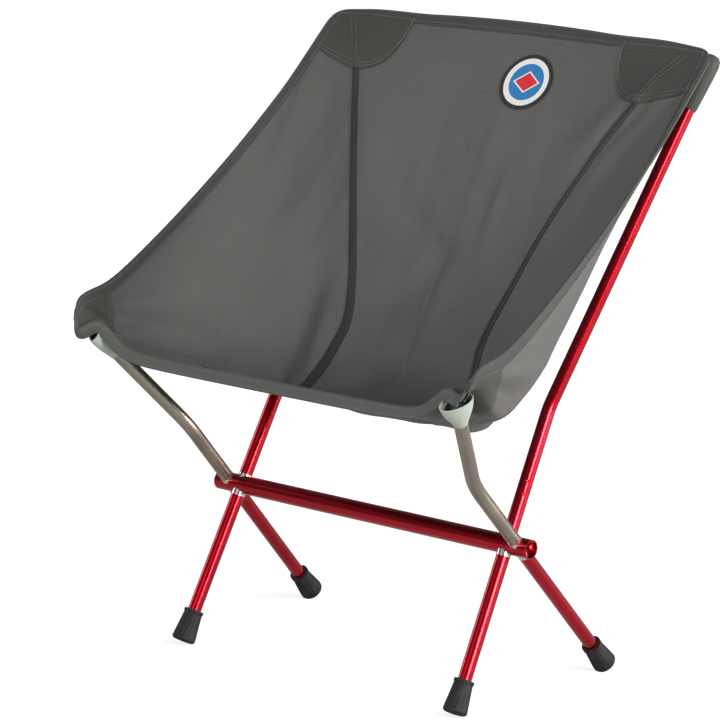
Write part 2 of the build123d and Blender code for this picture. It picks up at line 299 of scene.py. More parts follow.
@lru_cache(maxsize=None)
def half_length_at(mark):
    row = [sling_point(step / 24, mark / 400) for step in range(25)]
    return sum((b - a).length for a, b in zip(row, row[1:]))


def half_length(v):
    """The cloth's length from the middle line to a side edge."""
    mark = min(max(v, 0), 1) * 400
    low = math.floor(mark)
    share = mark - low
    return half_length_at(low) * (1 - share) + half_length_at(min(low + 1, 400)) * share


@lru_cache(maxsize=None)
def middle_length(mark):
    column = [sling_point(0, step / 400) for step in range(mark + 1)]
    return sum((b - a).length for a, b in zip(column, column[1:]))


cloth_length = middle_length(400)
print("middle line", round(cloth_length, 3), "m, widest", round(2 * half_length(0.6), 3), "m")


# %% [markdown]
# ## Rounded corners
# The corners are cut round. In front the cloth droops a little where it passes over the arms' tips,
# more so on the sitter's right, and at the back it is pulled up tight over the uprights' tips. A
# square corner of the grid is bent into a quarter circle by pulling its points inwards.

# %% Round the corners
corner_radius, back_corner_radius = 0.038, 0.020
left_droop, right_droop, droop_reach = 0.010, 0.017, 0.026
back_lift = 0.004


def rounded(u, v):
    """The place on the surface of a grid point, once the corners are cut round."""
    in_front = v > 0.5
    radius = corner_radius if in_front else back_corner_radius
    from_side = (1 - abs(u)) * half_length(v)
    from_end = (1 - v if in_front else v) * cloth_length
    if u == 0 or from_side >= radius or from_end >= radius:
        return u, v
    x, y = 1 - from_side / radius, 1 - from_end / radius
    from_side = radius * (1 - x * math.sqrt(1 - y * y / 2))
    from_end = radius * (1 - y * math.sqrt(1 - x * x / 2)) / cloth_length
    u = math.copysign(1 - from_side / half_length(v), u)
    return u, 1 - from_end if in_front else from_end


def droop(u, v):
    """How far the cloth hangs down near the front corners; at the back ones it stands up."""
    near_front = 1 - smooth((1 - v) * cloth_length, 0, droop_reach)
    depth = left_droop if u > 0 else right_droop
    hang = depth * near_front * smooth(abs(u), 0.72, 0.88)
    return hang - back_lift * smooth(abs(u), 0.45, 0.80) * (1 - smooth(v, 0.03, 0.22))


# %% [markdown]
# ## Folds
# Cloth that hangs from four corners isn't smooth. Soft folds run down the back, creases pull from
# the corners where the poles push, a deep one lies beside each seam, and the seam puckers where it
# turns into the seat. They are one height map over the whole sling, so that every layer sewn to it
# follows the same folds.

# %% The height of the folds
seat_lift, wing_lift = 0.0105, 0.0060      # how far the seat and the wings stand off the surface
pucker_depth, pucker_pitch, pucker_reach = 0.0019, 0.0125, 0.024
crease_measure = 0.30                      # metres across for a whole step of u, near enough


def seam_at(v):
    """The seam's place across the cloth: it fans out towards the back's corners."""
    if v >= seam_end:
        return seam_front
    return seam_front + seam_fan * (1 - v / seam_end) ** seam_power


# each crease: where it starts and ends (u, v), its half width in metres, its height in metres;
# these lie on both sides
creases = [
    ((0.23, 0.95), (0.02, 0.83), 0.009, -0.0032),
    ((0.26, 0.93), (0.14, 0.80), 0.008, 0.0022),
    ((0.90, 0.90), (0.52, 0.62), 0.014, 0.0036),
    ((0.93, 0.86), (0.66, 0.56), 0.012, -0.0030),
    ((0.84, 0.93), (0.46, 0.72), 0.012, -0.0032),
    ((0.78, 0.95), (0.42, 0.82), 0.010, 0.0026),
    ((0.93, 0.08), (0.40, 0.34), 0.018, -0.0022),
    ((0.84, 0.05), (0.22, 0.20), 0.016, 0.0016),
    ((0.94, 0.14), (0.72, 0.46), 0.014, 0.0022),
    ((0.33, 0.70), (0.46, 0.30), 0.015, -0.0095),
    ((0.27, 0.62), (0.38, 0.33), 0.009, 0.0034),
    ((0.44, 0.90), (0.33, 0.60), 0.016, -0.0060),
    ((0.48, 0.78), (0.67, 0.52), 0.008, -0.0026),
    ((0.62, 0.10), (0.36, 0.22), 0.022, 0.0042),
]
# these lie on one side only, so their u has a sign
lone_creases = [
    ((-0.10, 0.12), (0.19, 0.19), 0.010, -0.0026),
    ((0.19, 0.17), (0.16, 0.34), 0.012, 0.0036),
    ((0.02, 0.27), (-0.46, 0.17), 0.015, -0.0040),
    ((0.04, 0.25), (-0.20, 0.44), 0.017, -0.0036),
    ((0.06, 0.30), (0.00, 0.46), 0.016, 0.0030),
    ((0.78, 0.09), (0.42, 0.22), 0.014, -0.0034),
    ((0.70, 0.14), (0.30, 0.34), 0.016, 0.0026),
    ((-0.16, 0.62), (-0.02, 0.48), 0.015, -0.0075),
    ((0.10, 0.66), (0.30, 0.50), 0.014, -0.0036),
    ((-0.34, 0.03), (-0.06, 0.035), 0.007, -0.0018),
]


def crease_height(u, v, start, end, width, height):
    """A ridge along a straight line on the cloth, strongest near its start."""
    x, y = (u - start[0]) * crease_measure, (v - start[1]) * cloth_length
    run_x, run_y = (end[0] - start[0]) * crease_measure, (end[1] - start[1]) * cloth_length
    share = min(max((x * run_x + y * run_y) / (run_x ** 2 + run_y ** 2), 0), 1)
    away = math.hypot(x - run_x * share, y - run_y * share)
    widened = width * (0.6 + share)
    if away > 3 * widened:
        return 0.0
    fading = smooth(1 - share, 0, 0.5) * smooth(share, -0.1, 0.12)
    return height * math.exp(-(away / widened) ** 2) * fading


def fold_height(u, v):
    """How far the cloth stands off the smooth surface, towards the sitter, in metres."""
    free = smooth(1 - abs(u), 0.03, 0.22) * smooth(v, 0.02, 0.16) * smooth(1 - v, 0.02, 0.12)
    side = 3.0 if u > 0 else 0.0
    height = 0.0040 * noise.noise(Vector((u * 3.4 + side, v * 1.1, 0.3)))
    height += 0.0022 * noise.noise(Vector((u * 8.5, v * 3.6 + side, 4.7)))
    height += 0.0006 * noise.noise(Vector((u * 20, v * 7, 9.1)))
    height *= free
    height += seat_lift * math.exp(-((v - 0.85) / 0.10) ** 2) * (1 - smooth(abs(u), 0.50, 0.80))
    height += wing_lift * math.exp(-((abs(u) - 0.68) / 0.15) ** 2 - ((v - 0.67) / 0.14) ** 2)
    for crease in creases:
        height += crease_height(abs(u), v, *crease) * smooth(1 - abs(u), 0.0, 0.08)
    for crease in lone_creases:
        height += crease_height(u, v, *crease)
    beyond = (abs(u) - seam_at(v)) * half_length(v)
    pucker = math.exp(-(beyond / pucker_reach) ** 2)
    pucker *= smooth(v, 0.70, 0.80) * smooth(1 - v, 0.02, 0.06)
    turns = v * cloth_length / pucker_pitch + 0.6 * noise.noise(Vector((v * 40, side, 2)))
    ripple = math.sin(2 * math.pi * turns)
    return height + pucker_depth * pucker * ripple * (1 if beyond > 0 else 0.45)


# %% [markdown]
# ## The front hem
# Along the front the cloth ends in a wide band that is folded down, so its face looks forward.
# Towards the corners it turns back into the plane of the cloth, sooner on the sitter's left. A share
# `turned` says how much: 1 in the middle, 0 at the corners.

# %% Where the band goes
band_rise, band_drop = 0.0052, 0.0125      # above and below the cloth's front edge
band_inset, band_clear = 0.003, 0.001      # how far back it starts, and its height over the cloth


def turned(u):
    """How far the band is turned down to face forward."""
    return 1 - (smooth(u, 0.74, 0.92) if u > 0 else smooth(-u, 0.84, 0.99))


def spot_at(u, v):
    """A point of the smooth surface with its corners rounded and drooped."""
    u, v = rounded(u, v)
    return sling_point(u, v) - Vector((0, 0, droop(u, v)))


def band_start(u):
    """The line where the band's upper edge meets the cloth, and the way its face runs from there."""
    share = turned(u)
    inset = band_drop * (1 - share) + band_inset * share
    outer, inner = spot_at(u, 1), spot_at(u, 1 - band_drop / cloth_length)
    along = (outer - inner).normalized()
    across = (spot_at(min(u + 0.01, 1), 1) - spot_at(max(u - 0.01, -1), 1)).normalized()
    facing = along.cross(across).normalized()
    start = outer - along * inset + facing * (band_rise * share + band_clear)
    angle = math.pi / 2 * share
    return start, along * math.cos(angle) - facing * math.sin(angle), across


def cloth_point(u, v, height=0.0):
    """A point of the folded cloth, raised towards the sitter. The front edge rises to meet its band."""
    lift = band_rise * turned(u) * smooth(v, 0.93, 1.0)
    u, v = rounded(u, v)
    facing = sling_axes(u, v)[2]
    down = Vector((0, 0, droop(u, v)))
    return sling_point(u, v) + facing * (fold_height(u, v) + height + lift) - down


# %% [markdown]
# ## Pieces of cloth
# Each piece starts as a flat grid, as cut cloth does. Its corners are moved to their place on the
# sling, and its UV map keeps the flat measures in metres, so the weave has its real size. The
# Solidify operator then gives it a thickness, and edges that turn sharply stay sharp.


# %% Make a piece from a grid
def sewn(name, columns, rows, place, measure, thickness, material, body=chair, sharp=50):
    """A piece of cloth: place(s, t) is a corner's position and measure(s, t) its flat place in metres."""
    mesh = bmesh.new()
    bmesh.ops.create_grid(mesh, x_segments=columns, y_segments=rows, size=0.5)
    layer = mesh.loops.layers.uv.new("cloth")
    shares = {corner.index: (corner.co.x + 0.5, corner.co.y + 0.5) for corner in mesh.verts}
    for face in mesh.faces:
        for loop in face.loops:
            loop[layer].uv = measure(*shares[loop.vert.index])
    for corner in mesh.verts:
        corner.co = place(*shares[corner.index])
    area = sum(face.calc_area() for face in mesh.faces)
    bmesh.ops.reverse_faces(mesh, faces=mesh.faces)
    if thickness:
        bmesh.ops.solidify(mesh, geom=mesh.faces[:], thickness=thickness)
    return placed(mesh, name, material, body, sharp), area


def placed(mesh, name, material, body=chair, sharp=50):
    """Turns a bmesh into an object that rides on its body."""
    for face in mesh.faces:
        face.smooth = True
    for edge in mesh.edges:
        if len(edge.link_faces) == 2 and edge.calc_face_angle(0) > math.radians(sharp):
            edge.smooth = False
    data = bpy.data.meshes.new(name)
    mesh.to_mesh(data)
    mesh.free()
    data.materials.append(material)
    piece = bpy.data.objects.new(name, data)
    bpy.context.scene.collection.objects.link(piece)
    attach(piece, body)
    return piece


# %% [markdown]
# ## Cloth finishes
# Ripstop is a fine plain weave with a thicker thread every few millimetres both ways, which shows as
# a faint grid. The panels are dark grey with a soft sheen; tapes and patches have their own weave and
# tone. The height of the threads goes into a Bump node, and their tops are painted a little lighter, as a
# painted highlight.


# %% Woven finishes
rib_width = 0.0006


def thread_lines(wire, place, spacing, width):
    """1 on evenly spaced lines across one flat measure."""
    return 1 - wire.math("PINGPONG", place, spacing / 2).step(width * 0.3, width)


def woven(name, dark, light, grid=0.0042, grid_strength=0.5, thread=0.00055, marl=0.0, turn=0.0,
          sheen=0.06, roughness=0.62):
    """Cloth with a plain weave; grid is the ripstop spacing, marl how mottled its yarn is."""
    material, shader, wire = finish(
        name, Sheen_Weight=sheen, Sheen_Roughness=0.45, Specular_IOR_Level=0.22)
    flat = wire.node("ShaderNodeUVMap", {"uv_map": "cloth"})
    flat = wire.node("ShaderNodeMapping", None, {"Vector": flat, "Rotation": (0, 0, math.radians(turn))})
    across = wire.node("ShaderNodeSeparateXYZ", None, {0: flat}, out=0)
    along = wire.node("ShaderNodeSeparateXYZ", None, {0: flat}, out=1)
    # the plain weave and the thicker threads, with a painted highlight on their raised tops, and cloudy and
    # fine unevenness
    weft = wire.math("SINE", across * (2 * math.pi / thread))
    warp = wire.math("SINE", along * (2 * math.pi / thread))
    weave = weft * warp * 0.5 + 0.5
    ribs = wire.math("MAXIMUM", thread_lines(wire, across, grid, rib_width),
                     thread_lines(wire, along, grid, rib_width))
    cloud = speckle(wire, 9, 4)
    yarn = wire.node("ShaderNodeTexNoise", None, {"Vector": flat, "Scale": 900.0, "Detail": 3.0})
    # painted highlight: the ribs and the weave's crowns are lighter; the cloud and yarn terms are the cloth's
    # own uneven tone
    shade = ribs * (0.34 * grid_strength) + weave * 0.10 + (cloud - 0.5) * 0.5 + (yarn - 0.5) * (0.3 + marl)
    connect(
        shader,
        Base_Color=wire.math("MAXIMUM", shade + 0.35, 0.0).mix(dark, light),
        Roughness=cloud * 0.10 + (roughness - 0.05) - ribs * 0.05,
        Normal=raised(wire, ribs * grid_strength + weave * 0.45 + yarn * (0.4 + marl), 0.00022, 0.55),
    )
    return material


panel_cloth = woven("panel_ripstop", (0.060, 0.059, 0.056, 1), (0.106, 0.105, 0.099, 1))
wing_cloth = woven("wing_ripstop", (0.060, 0.059, 0.056, 1), (0.106, 0.105, 0.099, 1), turn=24)
binding_cloth = woven("binding_tape", (0.024, 0.024, 0.023, 1), (0.066, 0.066, 0.062, 1), grid=0.0016,
                      grid_strength=0.25, thread=0.0008, roughness=0.7)
band_cloth = woven("front_band_tape", (0.040, 0.043, 0.039, 1), (0.092, 0.098, 0.088, 1), grid=0.0018,
                   grid_strength=0.25, thread=0.0008, roughness=0.65)
seam_cloth = woven("seam_tape", (0.004, 0.004, 0.004, 1), (0.044, 0.045, 0.041, 1), grid=0.0011,
                   grid_strength=0.5, thread=0.0009, marl=2.2, turn=45, sheen=0.03, roughness=0.8)
patch_cloth = woven("patch_ripstop", (0.022, 0.024, 0.021, 1), (0.060, 0.064, 0.056, 1), grid=0.0030,
                    grid_strength=0.8, roughness=0.6)
pouch_cloth = woven("pouch_ripstop", (0.24, 0.27, 0.23, 1), (0.40, 0.44, 0.38, 1), grid=0.0030,
                    grid_strength=0.7, thread=0.0007, sheen=0.1, roughness=0.55)
thread_light = woven("light_thread", (0.10, 0.10, 0.092, 1), (0.17, 0.17, 0.155, 1), grid=0.0009,
                     roughness=0.6)
print("woven finishes made")

# %% [markdown]
# ## Panels
# The sling is one long middle panel and two wings, joined by seams that fan out towards the back's
# corners. The middle one runs from the top edge to the front band; the wings fill the sides.

# %% The middle panel and the wings
cloth_thickness = 0.0009
top_end = top_binding_width * 0.9 / (sling_point(0, 0.02) - sling_point(0, 0)).length * 0.02


def panel_edge(v):
    """Where a wing stops under its side binding."""
    return 1 - (side_binding_width - 0.002) / half_length(v)


def panel_end(u):
    """Where the panel stops under the front band."""
    return 1 - ((1 - turned(u)) * 0.010 + turned(u) * 0.002) / cloth_length


def panel(name, low, high, columns, rows, material):
    def spot(s, t):
        v = top_end + (1 - top_end) * t
        u = low(v) + (high(v) - low(v)) * s
        return u, top_end + (panel_end(u) - top_end) * t

    def place(s, t):
        return cloth_point(*spot(s, t))

    def measure(s, t):
        u, v = spot(s, t)
        return u * half_length(v), v * cloth_length

    return sewn(name, columns, rows, place, measure, cloth_thickness, material)


def main_edge(v):
    return min(seam_at(v), panel_edge(v))


main_panel, main_area = panel("main_panel_cloth", lambda v: -main_edge(v), main_edge, 100, 180, panel_cloth)
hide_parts("main_panel")
wings = {}
wing_areas = {}
for side, sign in sides.items():
    wings[side], wing_areas[side] = panel(
        side + "_wing_cloth",
        lambda v, sign=sign: min(sign * main_edge(v), sign * panel_edge(v)),
        lambda v, sign=sign: max(sign * main_edge(v), sign * panel_edge(v)),
        70, 180, wing_cloth)
    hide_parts(side + "_wing_panel")
print("panels", round(main_area, 4), "and", round(wing_areas["left"], 4), "square metres")

# %% [markdown]
# ## Edge bindings
# A binding is a tape folded round the raw edge and sewn through. Its grid's columns go round the
# fold: from the sitter's side, over the edge, to the back.

# %% Bindings on the sides and the top
# each point: how far in from the edge, and how far above the cloth
fold_profile = [(0.0130, 0.0009), (0.0118, 0.0015), (0.0060, 0.0017), (0.0016, 0.0017), (0.0004, 0.0012),
                (0.0, 0.0), (0.0004, -0.0012), (0.0016, -0.0017), (0.0060, -0.0017), (0.0118, -0.0015),
                (0.0130, -0.0009)]


def profile_at(profile, s):
    """A point of a profile drawn as straight runs, at share s."""
    mark = s * (len(profile) - 1)
    low = min(int(mark), len(profile) - 2)
    share = mark - low
    return [a + (b - a) * share for a, b in zip(profile[low], profile[low + 1])]


def side_binding(side, sign):
    def place(s, t):
        inset, height = profile_at(fold_profile, s)
        u = sign * (1 - inset / half_length(t))
        return cloth_point(u, t, height * (1 + 0.12 * noise.noise(Vector((t * 60, inset * 200, sign)))))

    def measure(s, t):
        return s * 0.028, t * 0.62

    piece, _ = sewn(side + "_side_binding_tape", 20, 240, place, measure, 0.0, binding_cloth)
    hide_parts(side + "_side_binding")
    return piece


def top_binding():
    def place(s, t):
        inset, height = profile_at(fold_profile, s)
        u = t * 2 - 1
        v = inset * top_binding_width / side_binding_width * top_end / (top_binding_width * 0.9)
        return cloth_point(u, v, height)

    def measure(s, t):
        return s * 0.032, t * 0.50

    piece, _ = sewn("top_binding_tape", 20, 160, place, measure, 0.0, binding_cloth)
    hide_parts("top_binding")
    return piece


bindings = {side: side_binding(side, sign) for side, sign in sides.items()}
top_tape = top_binding()
print("bindings made")

# %% [markdown]
# ## The front band
# The band is a tube of folded tape, a little puffed, that hangs from the cloth's front edge. Its
# section starts where the cloth ends, runs down its face, turns under and comes back up behind.

# %% The band
# each point: how far down the band's face, and how far out from it
band_profile = [(-0.0004, -0.0040), (-0.0008, -0.0016), (0.0, 0.0), (0.0010, 0.0010), (0.0030, 0.0015),
                (0.0062, 0.0016), (0.0095, 0.0015), (0.0118, 0.0010), (0.0125, 0.0), (0.0119, -0.0010),
                (0.0095, -0.0014), (0.0050, -0.0014), (0.0016, -0.0012)]


def front_band():
    def place(s, t):
        run, out = profile_at(band_profile, s)
        u = t * 2 - 1
        start, down, across = band_start(u)
        outward = down.cross(across).normalized()
        puff = 1 + 0.25 * noise.noise(Vector((u * 40, run * 200, 3)))
        return start + down * run + outward * out * puff + outward * 0.0006

    def measure(s, t):
        return s * 0.036, t * 0.62

    piece, _ = sewn("front_band_tape", 36, 260, place, measure, 0.0, band_cloth)
    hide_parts("front_binding")
    return piece


band = front_band()
print("front band made")

# %% [markdown]
# ## Seam tapes
# A woven tape covers each seam on the sitter's side. It is a closed strip a little thinner at its
# edges, raised over the cloth.


# %% Tapes over the seams
tape_width, tape_start, tape_end = 0.0098, 0.060, 0.992


def seam_tape(side, sign):
    def place(s, t):
        v = tape_start + (tape_end - tape_start) * t
        u = seam_at(v) + (s - 0.5) * tape_width / half_length(v)
        crown = 0.0007 * (1 - (2 * s - 1) ** 4)
        return cloth_point(sign * u, v, 0.0006 + crown)

    def measure(s, t):
        return s * tape_width, t * 0.66

    piece, _ = sewn(side + "_seam_tape_strip", 8, 260, place, measure, 0.0006, seam_cloth)
    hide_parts(side + "_seam_tape")
    return piece


tapes = {side: seam_tape(side, sign) for side, sign in sides.items()}
print("seam tapes made")

# %% [markdown]
# ## Corner patches
# Each corner is doubled with a patch of tougher, darker ripstop. The back ones hang from the top
# edge with a round lower edge, over the seam; the front ones are triangles over the arms' tips.


# %% Patches
def patch(name, low, high, first, last, height, columns=28, rows=28):
    def spot(s, t):
        v = first + (last - first) * t
        return low(v) + (high(v) - low(v)) * s, v

    def place(s, t):
        return cloth_point(*spot(s, t), height)

    def measure(s, t):
        u, v = spot(s, t)
        return u * half_length(v), v * cloth_length

    return sewn(name, columns, rows, place, measure, 0.0007, patch_cloth)[0]


back_patch_depth, back_patch_inner, back_patch_round = 0.092, 0.545, 0.25
front_patch_start, front_patch_end = 0.865, 0.990


def back_patch_end(size):
    """How far down the back patch reaches, at a distance from the middle line."""
    x = min(max(1 - (size - back_patch_inner) / back_patch_round, 0), 1)
    return top_end + (back_patch_depth - top_end) * math.sqrt(1 - x ** 2.6)


def over_seam(u, v):
    """The patch lies over the seam tape, so it stands up there."""
    beyond = (abs(u) - seam_at(v)) * half_length(v)
    return 0.0012 * math.exp(-(beyond / 0.007) ** 2) * smooth(v, 0.045, 0.065)


def back_patch(side, sign):
    outer, top = panel_edge(0.05), top_end * 0.4

    def spot(s, t):
        size = back_patch_inner + (outer - back_patch_inner) * s
        return sign * size, top + (back_patch_end(size) - top) * t

    def place(s, t):
        u, v = spot(s, t)
        return cloth_point(u, v, 0.0010 + over_seam(u, v))

    def measure(s, t):
        u, v = spot(s, t)
        return u * half_length(v), v * cloth_length

    return sewn(side + "_back_patch_cloth", 48, 28, place, measure, 0.0007, patch_cloth)[0]


def front_patch_low(v):
    return panel_edge(v) - 0.016 - 0.26 * (v - 0.86) / 0.13


for side, sign in sides.items():
    back_patch(side, sign)
    patch(
        side + "_front_patch_cloth", lambda v: sign * front_patch_low(v),
        lambda v: sign * panel_edge(v), front_patch_start, front_patch_end, 0.0010)
    for kind in ("back", "front"):
        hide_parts(f"{side}_{kind}_corner_patch")
    patch(
        side + "_under_patch_cloth", lambda v: sign * (panel_edge(v) - 0.30 * smooth(v, 0.86, 0.94)),
        lambda v: sign * panel_edge(v), front_patch_start, front_patch_end, -0.0012)
print("patches made")

# %% [markdown]
# ## Pouches on the arms
# Under each front corner a pouch of pale ripstop takes the arm's tip. It is round where it grips the
# pole and flattens into a wide mouth under the band. It starts as a circle, is extruded ring by ring
# up the pole, and each ring is widened along the front edge.

# %% Pouches
pouch_rings = [(-0.0300, 0.0076, 0.0076), (-0.0275, 0.0082, 0.0080), (-0.0225, 0.0100, 0.0086),
               (-0.0160, 0.0128, 0.0092), (-0.0090, 0.0152, 0.0094), (-0.0020, 0.0166, 0.0092),
               (0.0030, 0.0170, 0.0084), (0.0032, 0.0164, 0.0078)]
pouch_across = Vector((0.585, 0.738, 0.335))      # its mouth lies diagonally across the corner
ring_corners = 40


def ringed_sleeve(name, tip, over, wide, rings, material, thickness, closed=False):
    """A tube of cloth round a pole: rings are (distance along the pole, half width, half depth)."""
    deep = over.cross(wide).normalized()
    turn = Matrix((wide, deep, over)).transposed()
    mesh = bmesh.new()
    layer = mesh.loops.layers.uv.new("cloth")
    bmesh.ops.create_circle(mesh, segments=ring_corners, radius=1)
    ring, edges = mesh.verts[:], mesh.edges[:]
    for number, (run, half, depth) in enumerate(rings):
        if number:
            made = bmesh.ops.extrude_edge_only(mesh, edges=edges)["geom"]
            ring = [item for item in made if isinstance(item, bmesh.types.BMVert)]
            edges = [item for item in made if isinstance(item, bmesh.types.BMEdge)
                     and item.verts[0] in ring and item.verts[1] in ring]
            last_half, last_depth = rings[number - 1][1:]
        else:
            last_half = last_depth = 1
        for corner in ring:
            corner.co = Vector((corner.co.x / last_half * half, corner.co.y / last_depth * depth, run))
    if closed:
        bmesh.ops.contextual_create(mesh, geom=edges)
    for face in mesh.faces:
        middle = face.calc_center_median()
        start = math.atan2(middle.y, middle.x)
        for loop in face.loops:
            angle = math.atan2(loop.vert.co.y, loop.vert.co.x)
            angle += 2 * math.pi * round((start - angle) / (2 * math.pi))
            loop[layer].uv = (angle * 0.012, loop.vert.co.z)
    for corner in mesh.verts:
        corner.co = tip + turn @ corner.co
    bmesh.ops.recalc_face_normals(mesh, faces=mesh.faces[:])
    if thickness:
        bmesh.ops.solidify(mesh, geom=mesh.faces[:], thickness=thickness)
    return placed(mesh, name, material)


def flipped(vector, sign):
    return Vector((vector.x * sign, vector.y, vector.z))


def across_pole(direction, over):
    return (direction - over * direction.dot(over)).normalized()


back_pocket_rings = [(-0.050, 0.0078, 0.0078), (-0.047, 0.0086, 0.0084), (-0.030, 0.0096, 0.0094),
                     (-0.012, 0.0104, 0.0104), (0.0, 0.0106, 0.0106), (0.0055, 0.0098, 0.0092),
                     (0.0085, 0.0070, 0.0060), (0.0095, 0.0030, 0.0020)]
for side, sign in sides.items():
    over = flipped(arm_over, sign).normalized()
    ringed_sleeve(
        side + "_pouch_cloth", flipped(arm_tip, sign) + shift, over,
        across_pole(flipped(pouch_across, sign), over), pouch_rings, pouch_cloth, 0.0009)
    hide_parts(side + "_front_pole_pocket")
    over = flipped(upright_over, sign).normalized()
    edge_line = sling_point(sign, 0) - sling_point(sign * 0.9, 0)
    ringed_sleeve(
        side + "_back_pocket_cloth", flipped(upright_tip, sign) + shift, over, across_pole(edge_line, over),
        back_pocket_rings, patch_cloth, 0.0009, closed=True)
    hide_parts(side + "_back_pole_pocket")
print("pouches and pockets made")

# %% [markdown]
# ## Stitches
# A row of stitches is one small stretched bead, repeated at an even pitch along a line on the cloth.
# Each bead has only a few faces, because there are thousands.

# %% Rows of stitches
stitch_pitch, stitch_length, stitch_radius = 0.0034, 0.0026, 0.00036


def stitch_rows(name, lines, material):
    """Beads along lines; a line is a list of points on the cloth, close together."""
    mesh = bmesh.new()
    bead_shape = bmesh.new()
    bmesh.ops.create_uvsphere(bead_shape, u_segments=5, v_segments=4, radius=1)
    bmesh.ops.rotate(bead_shape, verts=bead_shape.verts, matrix=Matrix.Rotation(math.pi / 2, 3, "Y"))
    bmesh.ops.scale(bead_shape, verts=bead_shape.verts, vec=(stitch_length / 2, stitch_radius, stitch_radius))
    bead = bpy.data.meshes.new("bead")
    for line in lines:
        travelled, goal = 0.0, stitch_pitch / 2
        for first, last in zip(line, line[1:]):
            run = (last - first).length
            while run and travelled + run >= goal:
                spot = first.lerp(last, (goal - travelled) / run)
                turn = (last - first).to_track_quat("X", "Z").to_matrix().to_4x4()
                bead_shape.to_mesh(bead)
                bead.transform(Matrix.Translation(spot) @ turn)
                mesh.from_mesh(bead)
                goal += stitch_pitch
            travelled += run
    bead_shape.free()
    bpy.data.meshes.remove(bead)
    layer = mesh.loops.layers.uv.new("cloth")
    for face in mesh.faces:
        for loop in face.loops:
            loop[layer].uv = (loop.vert.co.x, loop.vert.co.z)
    return placed(mesh, name, material, sharp=180)


def line_on_cloth(spot, steps=240):
    """The points of a line: spot(share) gives u, v and height."""
    return [cloth_point(*spot(step / steps)) for step in range(steps + 1)]


def side_line(sign, inset, height):
    return line_on_cloth(lambda t: (sign * (1 - inset / half_length(t)), t, height))


def seam_line(sign, offset):
    def spot(t):
        v = 0.09 + 0.9 * t
        return sign * (seam_at(v) + offset / half_length(v)), v, 0.0013

    return line_on_cloth(spot)


def patch_seam_line(sign, offset):
    """The seam's rows where they go through the back patch."""
    def spot(t):
        v = 0.02 + 0.066 * t
        u = sign * (seam_at(v) + offset / half_length(0.05))
        return u, v, 0.0022 + over_seam(seam_at(0.05), v)

    return line_on_cloth(spot, 60)


def back_patch_line(sign, inset):
    """A row that follows the back patch's round edge."""
    def spot(t):
        size = back_patch_inner + (0.97 - back_patch_inner) * t ** 1.8
        return sign * size, max(back_patch_end(size) - inset, 0.006), 0.0020 + over_seam(0.7, 0.05)

    return line_on_cloth(spot, 90)


def front_patch_line(sign, inset):
    def spot(t):
        v = front_patch_start + 0.123 * t
        return sign * (front_patch_low(v) + inset), v, 0.0018

    return line_on_cloth(spot, 60)


def band_line(run, out):
    points = []
    for step in range(301):
        start, down, across = band_start((step / 300 * 2 - 1) * 0.985)
        points.append(start + down * run + down.cross(across).normalized() * out)
    return points


def top_line(inset):
    v = inset / top_binding_width * top_end
    return line_on_cloth(lambda t: ((t * 2 - 1) * 0.97, v, 0.0019))


for side, sign in sides.items():
    stitch_rows(side + "_edge_stitches", [
        side_line(sign, 0.0112, 0.0018), side_line(sign, 0.0030, 0.0019),
        side_line(sign, 0.0112, -0.0018)], thread_light)
    stitch_rows(side + "_seam_stitches", [
        seam_line(sign, 0.0033), seam_line(sign, -0.0033)], thread_light)
    stitch_rows(
        side + "_patch_stitches",
        [front_patch_line(sign, inset) for inset in (0.012, 0.030)]
        + [back_patch_line(sign, inset) for inset in (0.004, 0.0095)]
        + [patch_seam_line(sign, offset) for offset in (-0.0033, 0.0033)], thread_light)
stitch_rows("front_band_stitches", [
    band_line(0.0026, 0.0019), band_line(0.0102, 0.0019)], thread_light)
stitch_rows("top_edge_stitches", [top_line(0.0125), top_line(0.0030)], thread_light)
print("stitches made")

# %% [markdown]
# ## Badge
# A round woven badge sits high on the back. Its picture is a plain pattern of rings round a diamond,
# with no words. The pattern reads the badge's own UV map, measured from its middle; its rim is a
# ring of overlocked thread.

# %% The badge
badge_u, badge_v, badge_radius = 0.14, 0.058, 0.031


def badge_finish():
    material, shader, wire = finish("badge_weave", Sheen_Weight=0.1, Specular_IOR_Level=0.3)
    flat = wire.node("ShaderNodeUVMap", {"uv_map": "cloth"})
    away = wire.node("ShaderNodeVectorMath", {"operation": "LENGTH"}, {0: flat}, out=1)
    x = wire.math("ABSOLUTE", wire.node("ShaderNodeSeparateXYZ", None, {0: flat}, out=0))
    y = wire.math("ABSOLUTE", wire.node("ShaderNodeSeparateXYZ", None, {0: flat}, out=1))
    soft = 0.0003
    field = away.step(0.0205, 0.0205 + soft).mix((0.012, 0.17, 0.42, 1), (0.72, 0.71, 0.68, 1))
    ringed = away.step(0.0265, 0.0265 + soft).mix(field, (0.010, 0.010, 0.011, 1))
    diamond = (x * 0.75 + y).step(0.0105, 0.0105 + soft).mix((0.60, 0.012, 0.020, 1), ringed)
    outline = 1 - wire.math("ABSOLUTE", x * 0.75 + y - 0.0115).step(0.0008, 0.0008 + soft)
    pattern = outline.mix(diamond, (0.72, 0.71, 0.68, 1))
    down = wire.node("ShaderNodeSeparateXYZ", None, {0: flat}, out=1)
    rows = wire.math("SINE", down * (2 * math.pi / 0.0007))
    yarn = wire.node("ShaderNodeTexNoise", None, {"Vector": flat, "Scale": 1200.0, "Detail": 2.0})
    worn = (yarn - 0.5) * 0.5 + rows * 0.06 + 0.1
    connect(
        shader,
        Base_Color=wire.math("MAXIMUM", worn, 0.0).mix(pattern, (0.02, 0.02, 0.02, 1)),
        Roughness=yarn * 0.2 + 0.5,
        Normal=raised(wire, rows * 0.5 + yarn, 0.0002, 0.5),
    )
    return material


